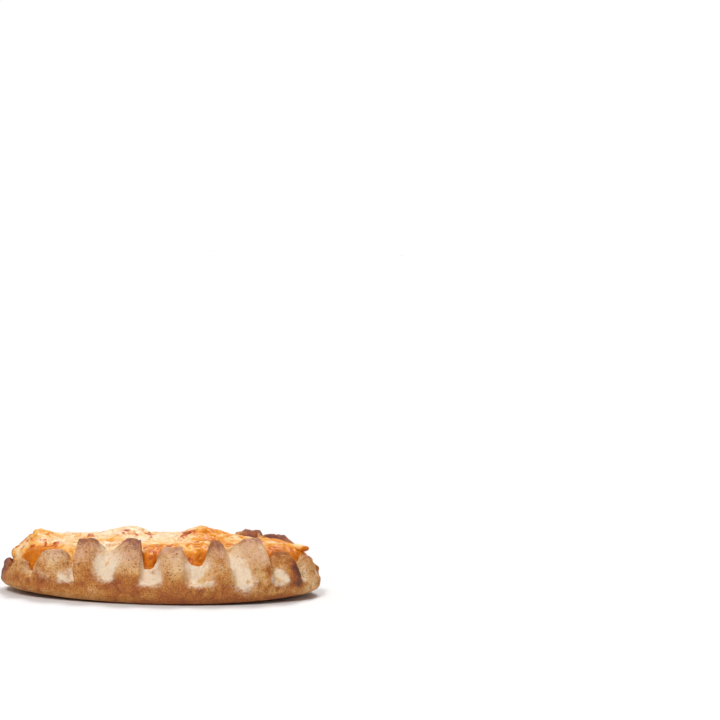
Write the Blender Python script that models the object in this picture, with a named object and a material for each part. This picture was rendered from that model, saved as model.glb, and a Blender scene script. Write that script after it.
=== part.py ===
"""A Karelian pie: an oval sheet of rye dough, pleated up round a mound of baked rice porridge.

Units are metres, and +Z is up. The pie rests on Z = 0 with its length along X, and the origin is the middle
of its base. Its front, with the tallest pleats, faces -Y.
"""

import math
import random

import bmesh
import bpy
import numpy as np
from mathutils import Matrix, Vector
from mathutils.bvhtree import BVHTree

MM = 0.001

# The oval, seen from above
LENGTH = 108 * MM
WIDTH = 67 * MM
HALF_LENGTH = LENGTH / 2
HALF_WIDTH = WIDTH / 2
MIDDLE = (0 * MM, 0.18 * MM)  # brings the middle of the uneven oval's box to the origin
AXIS_SHARE = 1 - (HALF_WIDTH / HALF_LENGTH) ** 2  # where an oval's normals meet its long axis

# The rice mound, which gives the wall its slope
MOUND_TOP = 18.0 * MM
MOUND_CROWN = 0.2 * MM
MOUND_ROUND = 2.2
MOUND_SLOPE = 10.8 * MM  # how far in from its foot the mound levels out

# The crust
BULGE_HEIGHT = 4.5 * MM
BULGE_THICK_END = 3.2 * MM
BULGE_THICK_SIDE = 5.0 * MM
BASE_THICK = 2.0 * MM
GROOVE_THICK = 1.4 * MM
CREST_FOOT_SHARE = 0.8  # how thick a crest is at its foot, as a share of its thickness at the top
PLEAT_LOW = 5.6 * MM  # the height at which the grooves begin
PLEAT_FULL = 8.6 * MM  # the height at which they reach their depth
LIP = 0.7 * MM  # how far the dough bulges below each groove
LIP_RISE = 2.5 * MM
UNEVEN = 0.25 * MM
FOLD = 3.0 * MM  # how far a crest hangs over its steeper flank, for each unit of difference between the two
MEANDER = 0.6 * MM  # how far the pleats stray to either side on the way up
MEANDER_TURNS = 11
MEANDER_BEND = 4
SWELL = (0.8, 0.6)  # how slender the ridges are at their foot, and how much more so at the top
EDGE_ROUND = 1.6 * MM
EDGE_FROM = 0.98  # the share of the wall from which the edge takes its direction
GAP = 0.3 * MM

# The underside: flat in the middle, with its rim a little off the table, most at the two ends
FLAT_INSET = 10 * MM
RIM_INSET = 3.2 * MM
RIM_LIFT = 0.3 * MM
END_LIFT = 1.7 * MM

# One row for each pleat on the front, from the left end to the right one: the angle of its foot round the
# oval in degrees, then in millimetres the height of its crest, the height of the crust's edge in the
# groove after it, the crust's thickness under the crest, and how far the crest leans to the right on the
# way up. The last three numbers are shares of the way to the next crest: where the left and the right
# flank end, so less is steeper, and half the width of the crest's flat top.
FRONT_PLEATS = (
    (186, 10.0, 7.2, 3.0, 1.0, 0.60, 0.45, 0.20),
    (203, 11.4, 8.8, 5.4, 5.5, 0.70, 0.40, 0.04),
    (221, 16.2, 11.2, 5.6, 4.5, 0.52, 0.75, 0.12),
    (241, 20.9, 16.0, 6.0, -1.2, 0.25, 0.50, 0.16),
    (257, 21.4, 11.2, 6.2, 1.0, 0.62, 0.34, 0.16),
    (274, 18.8, 12.4, 5.8, -0.6, 0.48, 0.42, 0.15),
    (294, 20.9, 18.0, 6.0, -3.2, 0.42, 0.45, 0.06),
    (309, 21.8, 12.3, 6.2, -2.2, 0.62, 0.28, 0.19),
    (332, 17.0, 12.0, 5.4, -12.0, 0.60, 0.36, 0.05),
    (347, 14.2, 11.0, 3.4, -6.0, 0.60, 0.40, 0.06),
)

# The pleats on the back, in millimetres, with the ranges that each draws from
BACK_PLEATS = 9
BACK_CREST = (15.1, 17.1)
BACK_END_DROP = 9.0  # how much lower the crests are at the two ends
BACK_EDGE = (10.5, 13.5)
BACK_EDGE_DROP = 2.0
BACK_STEP = 1.5  # how much lower than its crest the edge in a groove is, at least
BACK_THICK = (5.1, 6.1)
BACK_END_THIN = 2.2
BACK_LEAN = 5.0  # how far the crests lean towards the middle of the back, at most
BACK_LEAN_STRAY = 1.5
BACK_STEEP = (0.35, 0.65)
BACK_FLAT = (0.06, 0.16)
BACK_STRAY = math.radians(1.7)
HIGH_AT = math.radians(41.5)  # where the crests on the back are highest
HIGH_SPAN = math.radians(12)
HIGH_CREST = 20.6
HIGH_EDGE = 18.2
HIGH_STEP = 0.4  # how much lower than its crest the edge in a groove is there
HIGH_FLAT = 0.25
BACK_SEED = 11

COLUMNS_PER_PLEAT = 8
CORNER_ROWS = 3
WALL_ROWS = 8
LOW_SHARE = 0.45  # the share of the wall's rows that lie below the grooves' full depth
EDGE_ROWS = 2
INNER_ROWS = 2
INNER_CORNER_ROWS = 1

# The rice
RICE_COLUMNS = 84
RICE_HIDDEN_ROWS = 1
RICE_ROWS = 6
RICE_TOP_ROWS = 4
RICE_TOP_CENTRE = 0.12  # the size of the last row, as a share of the first
LUMP = 0.4 * MM
LUMPS_FROM = 0.10  # where the lumps begin, as a share of the way from the crust to the shoulder
LUMPS_OVER = 0.35
HUMPS = (  # place along and across the pie, half-width and height, in millimetres
    (-12, 4, 7.5, 4.0),
    (14, 5, 7.5, 3.8),
    (1, 0, 6, -0.4),
    (-41.5, -1, 5.5, 3.2),
    (24, 6, 6, 0.9),
    (34, 8, 9, -1.0),
    (43, 0, 6, -0.8),
)
SWELLINGS = (  # the middle of each bulging lump of porridge and its half-sizes, in millimetres
    (-45.5, -1.5, 12.6, 5.8, 6.5, 3.6),
    (45.3, -2.0, 16.4, 4.4, 2.0, 1.5),
    (-4.1, -23.9, 14.0, 2.4, 3.5, 3.2),
    (10.4, -22.2, 14.7, 2.9, 3.2, 2.8),
)
SWELLING_SIDES = 10
SWELLING_ROWS = 6
EDGE_EVENED = math.radians(1.2)  # how far to each side the porridge's edge is evened out
EVENING_STEPS = 25
GRAINS = 116
GRAIN_LENGTH = 6.0 * MM
GRAIN_WIDTH = 2.3 * MM
GRAIN_SIZES = (0.85, 1.1)
GRAIN_SIDES = 6
GRAIN_ROWS = 4
GRAIN_PITCH = 0.35
GRAIN_SINK = 0.35 * MM
GRAIN_CLEARANCE = 0.5 * MM
GRAIN_SEED = 7
SPREAD_LENGTH = 48 * MM
SPREAD_WIDTH = 28 * MM
GOLDEN_ANGLE = math.pi * (3 - math.sqrt(5))

SHARP = math.radians(50)
DOUGH_COLOUR = (0.62, 0.36, 0.17)
RICE_COLOUR = (0.90, 0.58, 0.22)


def smooth(x):
    """0 below 0, 1 above 1, and a smooth step between."""
    x = np.clip(x, 0, 1)
    return x * x * (3 - 2 * x)


def arc_table(steps=1440):
    """Angles round the oval, and the distance along its edge to each."""
    angles = np.linspace(0, 2 * math.pi, steps + 1)
    x = HALF_LENGTH * np.cos(angles)
    y = HALF_WIDTH * np.sin(angles)
    lengths = np.hypot(np.diff(x), np.diff(y))
    return angles, np.concatenate(([0], np.cumsum(lengths)))


def even_angles(count, start=0.0, end=2 * math.pi):
    """Angles from start to end that are evenly spaced along the oval's edge. The end is left out."""
    angles, lengths = arc_table()
    first = np.interp(start, angles, lengths)
    last = np.interp(end, angles, lengths)
    return np.interp(np.linspace(first, last, count, endpoint=False), lengths, angles)


def wobble(angle):
    """A slow unevenness of the oval, as a share of its size."""
    return 0.010 * np.sin(2 * angle + 0.7) + 0.008 * np.sin(3 * angle - 1.1) + 0.004 * np.sin(5 * angle + 2.0)


def uneven(angle, height):
    """Shallow hollows and swellings in the dough."""
    bend = 2 * np.sin(5 * angle)
    rising = np.sin(23 * angle + bend + height / (2.1 * MM))
    falling = np.sin(39 * angle + bend - height / (3.3 * MM))
    return UNEVEN * rising * falling


def place(angle, inward, height):
    """Points a distance inward from the oval's edge, along the edge's normal."""
    edge_x = HALF_LENGTH * np.cos(angle)
    edge_y = HALF_WIDTH * np.sin(angle)
    share = inward / np.hypot(edge_x * (1 - AXIS_SHARE), edge_y)
    size = 1 + wobble(angle)
    x = edge_x * (1 - (1 - AXIS_SHARE) * share) * size + MIDDLE[0]
    y = edge_y * (1 - share) * size + MIDDLE[1]
    return np.stack(np.broadcast_arrays(x, y, height), axis=-1)


def bulge_thick(angle):
    """How thick the crust is at the bulge, which is also how far in the mound's foot lies."""
    return BULGE_THICK_END + (BULGE_THICK_SIDE - BULGE_THICK_END) * np.sin(angle) ** 2


def climb_at(turn):
    """The mound's height at this turn, as a share of its rise from the bulge to the top."""
    return np.clip(np.sin(turn), 0, 1) ** (2 / MOUND_ROUND)


def mound(angle, turn, offset):
    """Distance inward and height on the mound's side, moved out along its normal by offset.

    turn is 0 at the bulge and a right angle where the mound levels out.
    """
    rise = MOUND_TOP - BULGE_HEIGHT
    across = np.clip(np.cos(turn), 0, 1) ** (2 / MOUND_ROUND)
    up = climb_at(turn)
    normal_in = -across ** (MOUND_ROUND - 1) / MOUND_SLOPE
    normal_up = up ** (MOUND_ROUND - 1) / rise
    length = np.hypot(normal_in, normal_up)
    inward = bulge_thick(angle) + MOUND_SLOPE * (1 - across) + offset * normal_in / length
    height = BULGE_HEIGHT + rise * up + offset * normal_up / length
    return inward, height


def crest_thickness(turn, thick):
    """How thick the crust is under a crest, which is thickest at its top."""
    return thick * (CREST_FOOT_SHARE + (1 - CREST_FOOT_SHARE) * climb_at(turn))


def turn_for(height, thick, rule, steps=90):
    """The turns at which a crust as thick as the rule says has its outside at these heights."""
    turns = np.linspace(0, math.pi / 2, steps)
    found = [np.interp(h, mound(0, turns, rule(turns, t))[1], turns) for h, t in zip(height, thick)]
    return np.array(found)


def high(angle):
    """1 where the crests on the back are highest, fading to 0 at its sides."""
    return np.exp(-(((angle - HIGH_AT) / HIGH_SPAN) ** 4))


def pleat_rows():
    """All pleats round the oval, in radians and metres, with the columns of FRONT_PLEATS."""
    front = np.array(FRONT_PLEATS, dtype=float)
    front[:, 0] = np.radians(front[:, 0])
    draw = random.Random(BACK_SEED)
    first = front[-1, 0] - 2 * math.pi
    angles = first + even_angles(BACK_PLEATS + 1, 0.0, front[0, 0] - first)
    half_step = (angles[-1] - angles[1]) / (2 * (BACK_PLEATS - 1))
    back = []
    for angle in angles[1:]:
        end = abs(math.cos(angle)) ** 4
        crest = draw.uniform(*BACK_CREST) - BACK_END_DROP * end
        crest += (HIGH_CREST - crest) * high(angle)
        beside = high(angle + half_step)
        edge = draw.uniform(*BACK_EDGE) - BACK_EDGE_DROP * end
        edge += (HIGH_EDGE - edge) * beside
        edge = min(edge, crest - BACK_STEP + (BACK_STEP - HIGH_STEP) * beside)
        thick = draw.uniform(*BACK_THICK) - BACK_END_THIN * end
        lean = BACK_LEAN * math.sin(2 * angle) + draw.uniform(-BACK_LEAN_STRAY, BACK_LEAN_STRAY)
        steep = draw.uniform(*BACK_STEEP)
        flat = draw.uniform(*BACK_FLAT) + HIGH_FLAT * high(angle)
        angle += draw.uniform(-BACK_STRAY, BACK_STRAY)
        back.append((angle, crest, edge, thick, lean, steep, 1 - steep, flat))
    rows = np.vstack((back, front))
    rows[:, 1:5] *= MM
    return rows


class Columns:
    """The upright lines of the crust's mesh, the same number to each pleat, so that each crest is a line.

    Each method takes a share of the way from the bulge to the crust's edge.
    """

    def __init__(self, per_pleat):
        rows = pleat_rows()
        after = np.roll(rows, -1, axis=0)
        after[-1, 0] += 2 * math.pi
        meeting = rows[:, 6] / (rows[:, 6] + after[:, 5])
        count = np.arange(per_pleat) / per_pleat
        u = np.concatenate([np.interp(count, (0, 0.5, 1), (0, m, 1)) for m in meeting])
        here = np.repeat(rows, per_pleat, axis=0)
        there = np.repeat(after, per_pleat, axis=0)
        mixed = here + (there - here) * smooth(u)[:, None]
        falling = 1 - smooth((u - here[:, 7]) / (here[:, 6] - here[:, 7]))
        rising = 1 - smooth((1 - u - there[:, 7]) / (there[:, 5] - there[:, 7]))
        self.angle = here[:, 0] + (there[:, 0] - here[:, 0]) * u
        self.wave = 1 - (1 - falling) * (1 - rising)
        self.thick = mixed[:, 3]
        self.lean = mixed[:, 4]
        self.fold = FOLD * ((here[:, 5] - here[:, 6]) * falling + (there[:, 5] - there[:, 6]) * rising)
        crest_turn = turn_for(mixed[:, 1], self.thick, crest_thickness)
        groove_turn = turn_for(here[:, 2], self.thick, lambda turn, thick: GROOVE_THICK)
        self.edge_turn = groove_turn + (crest_turn - groove_turn) * self.wave
        self.full_turn = turn_for([PLEAT_FULL], [0], lambda turn, thick: 0)

    def turn(self, share):
        """The turns at this share, the same for all lines until the grooves have reached their depth."""
        past = np.clip((share - LOW_SHARE) / (1 - LOW_SHARE), 0, 1)
        return self.full_turn * min(share / LOW_SHARE, 1) + (self.edge_turn - self.full_turn) * past

    def shifted(self, turn, grown):
        """The angles of the lines at this turn, with the pleats' lean and fold."""
        climb = climb_at(turn)
        stray = MEANDER * np.sin(MEANDER_TURNS * self.angle + MEANDER_BEND * climb) * climb
        return self.angle + (self.lean * climb + self.fold * grown + stray) / HALF_LENGTH

    def wall(self, share):
        """Points on the outside of the wall."""
        turn = self.turn(share)
        climb = climb_at(turn)
        level = BULGE_HEIGHT + (MOUND_TOP - BULGE_HEIGHT) * climb
        grown = smooth((level - PLEAT_LOW) / (PLEAT_FULL - PLEAT_LOW))
        ridge = self.wave ** (SWELL[0] + SWELL[1] * climb)
        pleated = GROOVE_THICK + (crest_thickness(turn, self.thick) - GROOVE_THICK) * ridge
        foot = bulge_thick(self.angle)
        bulge = np.sin(math.pi * np.clip((level - BULGE_HEIGHT) / LIP_RISE, 0, 1))
        lip = LIP * (1 - self.wave) * np.sin(self.angle) ** 2 * bulge
        angle = self.shifted(turn, grown)
        thick = foot + (pleated - foot) * grown + lip + uneven(angle, level)
        return place(angle, *mound(angle, turn, thick))

    def inner(self, share):
        """Points on the inside of the wall, a small gap off the rice."""
        turn = self.turn(share)
        angle = self.shifted(turn, 0)
        return place(angle, *mound(angle, turn, GAP))

    def edge(self, share):
        """Points over the rounded edge of the sheet, with the share running from outside to inside."""
        outside = self.wall(1)
        inside = self.inner(1)
        further = outside - self.wall(EDGE_FROM)
        along = further / np.linalg.norm(further, axis=1)[:, None]
        thick = np.linalg.norm(outside - inside, axis=1)
        bulge = np.minimum(EDGE_ROUND, thick / 2) * math.sin(math.pi * share)
        middle = outside + (inside - outside) * (1 - math.cos(math.pi * share)) / 2
        return middle + along * bulge[:, None]


def corner(angle, share, low, low_inset, side_inset):
    """Points round a lower corner, from its lowest line at share 0 up to the bulge at share 1."""
    turn = share * math.pi / 2
    inward = side_inset + (low_inset - side_inset) * (1 - math.sin(turn))
    height = low + (BULGE_HEIGHT - low) * (1 - math.cos(turn))
    return place(angle, inward, height)


def mesh_of_rings(name, rings):
    """A closed object from rings of points, with the first and the last ring filled."""
    shape = bmesh.new()
    loops = [[shape.verts.new(point) for point in ring] for ring in rings]
    for lower, upper in zip(loops, loops[1:]):
        for i in range(len(lower)):
            j = (i + 1) % len(lower)
            shape.faces.new((lower[i], lower[j], upper[j], upper[i]))
    shape.faces.new(loops[0])
    shape.faces.new(loops[-1])
    bmesh.ops.recalc_face_normals(shape, faces=shape.faces)
    mesh = bpy.data.meshes.new(name)
    shape.to_mesh(mesh)
    shape.free()
    thing = bpy.data.objects.new(name, mesh)
    bpy.context.scene.collection.objects.link(thing)
    return thing


def material(name, colour, roughness):
    """A plain shader for one food."""
    made = bpy.data.materials.new(name)
    made.use_nodes = True
    shader = made.node_tree.nodes["Principled BSDF"]
    shader.inputs["Base Color"].default_value = (*colour, 1)
    shader.inputs["Roughness"].default_value = roughness
    return made


def finish(thing, look):
    """Gives an object its material and smooth shading."""
    thing.data.materials.clear()
    thing.data.materials.append(look)
    thing.data.shade_smooth()
    thing.data.set_sharp_from_angle(angle=SHARP)


def make_crust():
    """The pleated sheet of dough, open over the rice."""
    columns = Columns(COLUMNS_PER_PLEAT)
    angle = columns.angle
    rings = [place(angle, FLAT_INSET, 0)]
    rim = RIM_LIFT + END_LIFT * np.cos(angle) ** 2
    rings += [corner(angle, i / CORNER_ROWS, rim, RIM_INSET, 0) for i in range(CORNER_ROWS)]
    rings += [columns.wall(i / WALL_ROWS) for i in range(WALL_ROWS + 1)]
    rings += [columns.edge(i / (EDGE_ROWS + 1)) for i in range(1, EDGE_ROWS + 1)]
    rings += [columns.inner(1 - i / INNER_ROWS) for i in range(INNER_ROWS)]
    for i in range(INNER_CORNER_ROWS, -1, -1):
        rings.append(corner(angle, i / INNER_CORNER_ROWS, BASE_THICK, FLAT_INSET, bulge_thick(angle) - GAP))
    return mesh_of_rings("crust", rings)


def edge_turns(angles):
    """The turn at which the crust's edge lies on the mound, at each of these angles."""
    columns = Columns(COLUMNS_PER_PLEAT)
    lines = columns.shifted(columns.edge_turn, 1)
    aside = np.linspace(-EDGE_EVENED, EDGE_EVENED, EVENING_STEPS)
    near = [np.interp(angles + a, lines, columns.edge_turn, period=2 * math.pi) for a in aside]
    return np.mean(near, axis=0)


def lumps(x, y):
    """The uneven top of the porridge, above the smooth mound."""
    x = x / MM
    y = y / MM
    wide = np.sin(x / 5.1 + 1.3 * np.sin(y / 6.7))
    small = np.sin(y / 3.9 + 0.8 * np.sin(x / 4.3 + 2))
    height = LUMP * (wide + 0.7 * small)
    for along, across, width, rise in HUMPS:
        height = height + rise * MM * np.exp(-(((x - along) ** 2 + (y - across) ** 2) / width**2))
    return height


def crown(x, y):
    """How much the mound still rises from its shoulder towards the middle."""
    out = (x / (HALF_LENGTH - MOUND_SLOPE)) ** 2 + (y / (HALF_WIDTH - MOUND_SLOPE)) ** 2
    return MOUND_CROWN * smooth(1 - out)


def make_rice_core():
    """The mound of porridge, down to the floor of the crust."""
    angle = even_angles(RICE_COLUMNS)
    edge = edge_turns(angle)
    low = BASE_THICK + GAP
    foot = bulge_thick(angle)
    rings = [corner(angle, i / INNER_CORNER_ROWS, low, FLAT_INSET, foot) for i in range(INNER_CORNER_ROWS)]
    for i in range(RICE_HIDDEN_ROWS):
        rings.append(place(angle, *mound(angle, edge * i / RICE_HIDDEN_ROWS, 0)))
    for i in range(RICE_ROWS + 1):
        share = i / RICE_ROWS
        side = place(angle, *mound(angle, edge + (math.pi / 2 - edge) * share, 0))
        side[:, 2] += lumps(side[:, 0], side[:, 1]) * smooth((share - LUMPS_FROM) / LUMPS_OVER)
        rings.append(side)
    shoulder = rings[-1]
    for i in range(1, RICE_TOP_ROWS + 1):
        top = shoulder * (1 - (1 - RICE_TOP_CENTRE) * i / RICE_TOP_ROWS)
        top[:, 2] = MOUND_TOP + lumps(top[:, 0], top[:, 1]) + crown(top[:, 0], top[:, 1])
        rings.append(top)
    return mesh_of_rings("rice_filling", rings)


def grain_shape(draw):
    """One plump grain of rice with few sides, its length along X."""
    shape = bmesh.new()
    bmesh.ops.create_uvsphere(shape, u_segments=GRAIN_SIDES, v_segments=GRAIN_ROWS, radius=0.5)
    size = draw.uniform(*GRAIN_SIZES)
    bmesh.ops.rotate(shape, verts=shape.verts, matrix=Matrix.Rotation(math.pi / 2, 3, "Y"))
    stretch = Vector((GRAIN_LENGTH, GRAIN_WIDTH, GRAIN_WIDTH)) * size
    bmesh.ops.scale(shape, verts=shape.verts, vec=stretch)
    return shape


def swelling_shape(middle, half_sizes):
    """One rounded lump with few sides."""
    shape = bmesh.new()
    bmesh.ops.create_uvsphere(shape, u_segments=SWELLING_SIDES, v_segments=SWELLING_ROWS, radius=MM)
    bmesh.ops.scale(shape, verts=shape.verts, vec=half_sizes)
    bmesh.ops.translate(shape, verts=shape.verts, vec=Vector(middle) * MM)
    return shape


def keep(shape, name, collection):
    """Puts a copy of a shape in the collection as an object."""
    mesh = bpy.data.meshes.new(name)
    shape.to_mesh(mesh)
    collection.objects.link(bpy.data.objects.new(name, mesh))


def add_grains(core, crust):
    """Fuses lumps, and grains that are evenly spread and clear of the crust, on the top of the core."""
    scene = bpy.context.evaluated_depsgraph_get()
    core_tree = BVHTree.FromObject(core, scene)
    crust_tree = BVHTree.FromObject(crust, scene)
    draw = random.Random(GRAIN_SEED)
    loose = bpy.data.collections.new("grains")
    bpy.context.scene.collection.children.link(loose)
    for sizes in SWELLINGS:
        shape = swelling_shape(sizes[:3], sizes[3:])
        keep(shape, "swelling", loose)
        shape.free()
    for i in range(GRAINS):
        out = math.sqrt((i + 0.5) / GRAINS)
        turn = i * GOLDEN_ANGLE
        above = Vector((SPREAD_LENGTH * out * math.cos(turn), SPREAD_WIDTH * out * math.sin(turn), 1))
        shape = grain_shape(draw)
        spin = Matrix.Rotation(draw.uniform(0, math.pi), 4, "Z")
        pitch = Matrix.Rotation(draw.uniform(-GRAIN_PITCH, GRAIN_PITCH), 4, "Y")
        spot, normal, _, _ = core_tree.ray_cast(above, Vector((0, 0, -1)))
        if spot is None:
            shape.free()
            continue
        upright = normal.to_track_quat("Z", "Y").to_matrix().to_4x4()
        where = Matrix.Translation(spot - normal * GRAIN_SINK) @ upright @ spin @ pitch
        bmesh.ops.transform(shape, verts=shape.verts, matrix=where)
        nearest = min(crust_tree.find_nearest(v.co)[3] for v in shape.verts)
        if nearest > GRAIN_CLEARANCE:
            keep(shape, "grain", loose)
        shape.free()
    union = core.modifiers.new("grains", "BOOLEAN")
    union.operation = "UNION"
    union.operand_type = "COLLECTION"
    union.collection = loose
    fused = bpy.data.meshes.new_from_object(core.evaluated_get(bpy.context.evaluated_depsgraph_get()))
    core.modifiers.clear()
    core.data = fused
    for grain in list(loose.objects):
        bpy.data.objects.remove(grain)
    bpy.data.collections.remove(loose)


def main():
    for thing in list(bpy.data.objects):
        bpy.data.objects.remove(thing)
    crust = make_crust()
    rice = make_rice_core()
    add_grains(rice, crust)
    finish(crust, material("baked_crust", DOUGH_COLOUR, 0.75))
    finish(rice, material("baked_rice", RICE_COLOUR, 0.45))


main()
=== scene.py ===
"""The looks of a Karelian pie: a pleated rye crust, and baked rice porridge with its grains.

Units are metres, and +Z is up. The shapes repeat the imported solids' own rules, with a finer mesh and the
relief of the dough and the rice.
"""

import itertools
import math
import random

import bpy
import numpy as np
from mathutils import Matrix, Vector
from mathutils.bvhtree import BVHTree


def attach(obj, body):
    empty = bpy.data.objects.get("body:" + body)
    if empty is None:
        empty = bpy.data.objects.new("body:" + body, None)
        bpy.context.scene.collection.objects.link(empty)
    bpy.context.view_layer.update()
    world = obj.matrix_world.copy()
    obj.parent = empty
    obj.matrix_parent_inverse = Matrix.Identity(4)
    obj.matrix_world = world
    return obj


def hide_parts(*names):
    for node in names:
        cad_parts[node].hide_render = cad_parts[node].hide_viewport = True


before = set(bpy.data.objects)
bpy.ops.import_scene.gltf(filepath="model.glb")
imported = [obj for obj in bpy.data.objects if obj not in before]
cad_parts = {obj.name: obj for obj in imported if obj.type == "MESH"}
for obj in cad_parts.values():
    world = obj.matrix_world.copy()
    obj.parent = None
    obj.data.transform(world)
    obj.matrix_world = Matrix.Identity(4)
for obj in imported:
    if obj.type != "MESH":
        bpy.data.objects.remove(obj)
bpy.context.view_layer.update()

MM = 0.001

# The photograph's camera
FRAME_PIXELS = 720
FOCAL_PIXELS = 3430
PIE_PIXEL = (162.5, 559)  # where the middle of the pie lies in the photograph
DISTANCE = 1.175
ELEVATION = math.radians(7.4)
ROLL = math.radians(1.25)
TARGET = Vector((0, 0, 0.0115))
SENSOR_WIDTH = 36
CLIP_END = 20

# The oval, seen from above
LENGTH = 108 * MM
WIDTH = 67 * MM
HALF_LENGTH = LENGTH / 2
HALF_WIDTH = WIDTH / 2
MIDDLE = (0, 0.18 * MM)  # centres the uneven oval's box
AXIS_SHARE = 1 - (HALF_WIDTH / HALF_LENGTH) ** 2  # where its normals meet its long axis

# The rice mound, which gives the wall its slope
MOUND_TOP = 18.0 * MM
MOUND_CROWN = 0.2 * MM
MOUND_ROUND = 2.2
MOUND_SLOPE = 10.8 * MM  # how far in from its foot the mound levels out

# The crust
BULGE_HEIGHT = 4.5 * MM
BULGE_THICK_END = 3.2 * MM
BULGE_THICK_SIDE = 5.0 * MM
BASE_THICK = 2.0 * MM
GROOVE_THICK = 1.4 * MM
CREST_FOOT_SHARE = 0.8  # a crest's thickness at its foot, as a share of that at its top
PLEAT_LOW = 5.6 * MM  # where the grooves begin
PLEAT_FULL = 8.6 * MM  # where they reach their depth
LIP = 0.7 * MM  # how far the dough bulges below each groove
LIP_RISE = 2.5 * MM
UNEVEN = 0.25 * MM
FOLD = 3.0 * MM  # how far a crest hangs over its steeper flank, for a difference of 1 between the two
MEANDER = 0.6 * MM  # how far the pleats stray to either side on the way up
MEANDER_TURNS = 11
MEANDER_BEND = 4
SWELL = (0.8, 0.6)  # how slender the ridges are at their foot, and how much more so at the top
EDGE_ROUND = 1.6 * MM
EDGE_FROM = 0.98  # the share of the wall from which the edge takes its direction
GAP = 0.3 * MM

# The underside: flat in the middle, with its rim off the table, most at the two ends
FLAT_INSET = 10 * MM
RIM_INSET = 3.2 * MM
RIM_LIFT = 0.3 * MM
END_LIFT = 1.7 * MM

# The pleats on the front, from left to right: the angle of each crest's foot round the oval in degrees, then
# in millimetres the crest's height, the height of the edge in the groove after it, the thickness under the
# crest, and its lean to the right. The last three are shares of the way to the next crest: where the left
# and the right flank end, so less is steeper, and half the width of the crest's flat top.
FRONT_PLEATS = (
    (186, 10.0, 7.2, 3.0, 1.0, 0.6, 0.45, 0.2),
    (203, 11.4, 8.8, 5.4, 5.5, 0.7, 0.4, 0.04),
    (221, 16.2, 11.2, 5.6, 4.5, 0.52, 0.75, 0.12),
    (241, 20.9, 16.0, 6.0, -1.2, 0.25, 0.5, 0.16),
    (257, 21.4, 11.2, 6.2, 1.0, 0.62, 0.34, 0.16),
    (274, 18.8, 12.4, 5.8, -0.6, 0.48, 0.42, 0.15),
    (294, 20.9, 18.0, 6.0, -3.2, 0.42, 0.45, 0.06),
    (309, 21.8, 12.3, 6.2, -2.2, 0.62, 0.28, 0.19),
    (332, 17.0, 12.0, 5.4, -12.0, 0.6, 0.36, 0.05),
    (347, 14.2, 11.0, 3.4, -6.0, 0.6, 0.4, 0.06),
)

# The pleats on the back, in millimetres, with the ranges that each draws from
BACK_PLEATS = 9
BACK_CREST = (15.1, 17.1)
BACK_END_DROP = 9.0  # how much lower they are at the two ends
BACK_EDGE = (10.5, 13.5)
BACK_EDGE_DROP = 2.0
BACK_STEP = 1.5  # how much lower than its crest a groove's edge is, at least
BACK_THICK = (5.1, 6.1)
BACK_END_THIN = 2.2
BACK_LEAN = 5.0  # how far the crests lean towards the middle of the back, at most
BACK_LEAN_STRAY = 1.5
BACK_STEEP = (0.35, 0.65)
BACK_FLAT = (0.06, 0.16)
BACK_STRAY = math.radians(1.7)
HIGH_AT = math.radians(41.5)  # where the back's crests are highest
HIGH_SPAN = math.radians(12)
HIGH_CREST = 20.6
HIGH_EDGE = 18.2
HIGH_STEP = 0.4  # how much lower than its crest a groove's edge is there
HIGH_FLAT = 0.25
BACK_SEED = 11

# How much flour lies in the groove after each pleat
FRONT_FLOUR = (0.0, 0.15, 0.75, 1.0, 1.0, 1.0, 1.0, 0.9, 0.6, 0.4)
BACK_FLOUR = (0.4, 1.0)

# Places on the front with a look of their own, read from the photograph: along and up, half-width and
# half-height in millimetres, then how much browner, how much more floury and how dark-tipped they are
FRONT_PLACES = (
    (-43, 5.5, 4, 3, 0.3, -0.3, 0), (-48, 9, 5, 5, -0.18, 0, 0), (-38, 8.5, 6, 2.5, -0.22, 0.45, 0),
    (-37, 15.5, 5, 3, -0.26, 0, 0), (-32, 12.5, 4, 2.6, 0.05, -0.9, 0), (-27, 16, 4, 4, -0.1, 0, 0),
    (-12, 13.5, 4, 4.5, -0.13, 0.1, 0), (3.5, 13, 4, 4, -0.12, 0.15, 0), (-24, 7, 10, 3.4, 0.17, 0, 0),
    (-12, 6.5, 8, 3, 0.12, 0, 0), (-18, 14.5, 4.5, 4, -0.08, 0.55, 0), (-17.5, 6.8, 3.5, 1.3, 0.1, -0.3, 0),
    (-1.5, 6.5, 4, 3, -0.1, 0.1, 0), (13, 7.5, 6, 2.5, -0.08, 0.1, 0), (12.9, 12.5, 5, 2.2, 0, -0.3, 0),
    (29, 8, 4.5, 3.5, -0.14, 0.75, 0), (24.5, 15, 3, 4, -0.08, 0.25, 0), (30, 18.5, 5, 4, -0.14, 0, 0),
    (34.5, 7, 3.2, 4.5, 0.2, -0.4, 0), (39.5, 8.8, 4.5, 2.5, -0.14, 0.75, 0),
    (39, 14.5, 5, 3.4, 0.12, -1.6, 0), (44, 4, 9, 4, -0.12, 0, 0), (44.5, 10, 2.2, 3.4, 0.24, -0.8, 0),
    (50, 7.5, 5, 6, -0.14, 0.15, 0), (-27.5, 21, 4, 2, 0.1, 0, 1.2), (-9, 21, 3.5, 3.0, 0.1, 0, 1.2),
    (18.5, 20.8, 3, 2.2, 0.1, 0, 1.2), (33, 21.6, 5, 1.5, 0.06, 0, 0.8),
)

# The crust's fine mesh
SOLID_COLUMNS = 8
COLUMNS_PER_PLEAT = 40
UNDER_RINGS = 6
UNDER_CENTRE = 0.05
CORNER_ROWS = 9
LOW_SHARE = 0.45
WALL_LOW_ROWS = 20
WALL_HIGH_ROWS = 46
EDGE_ROWS = 9
INNER_ROWS = 8
INNER_DEPTH = 0.45  # the finely meshed share of the inside

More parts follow.
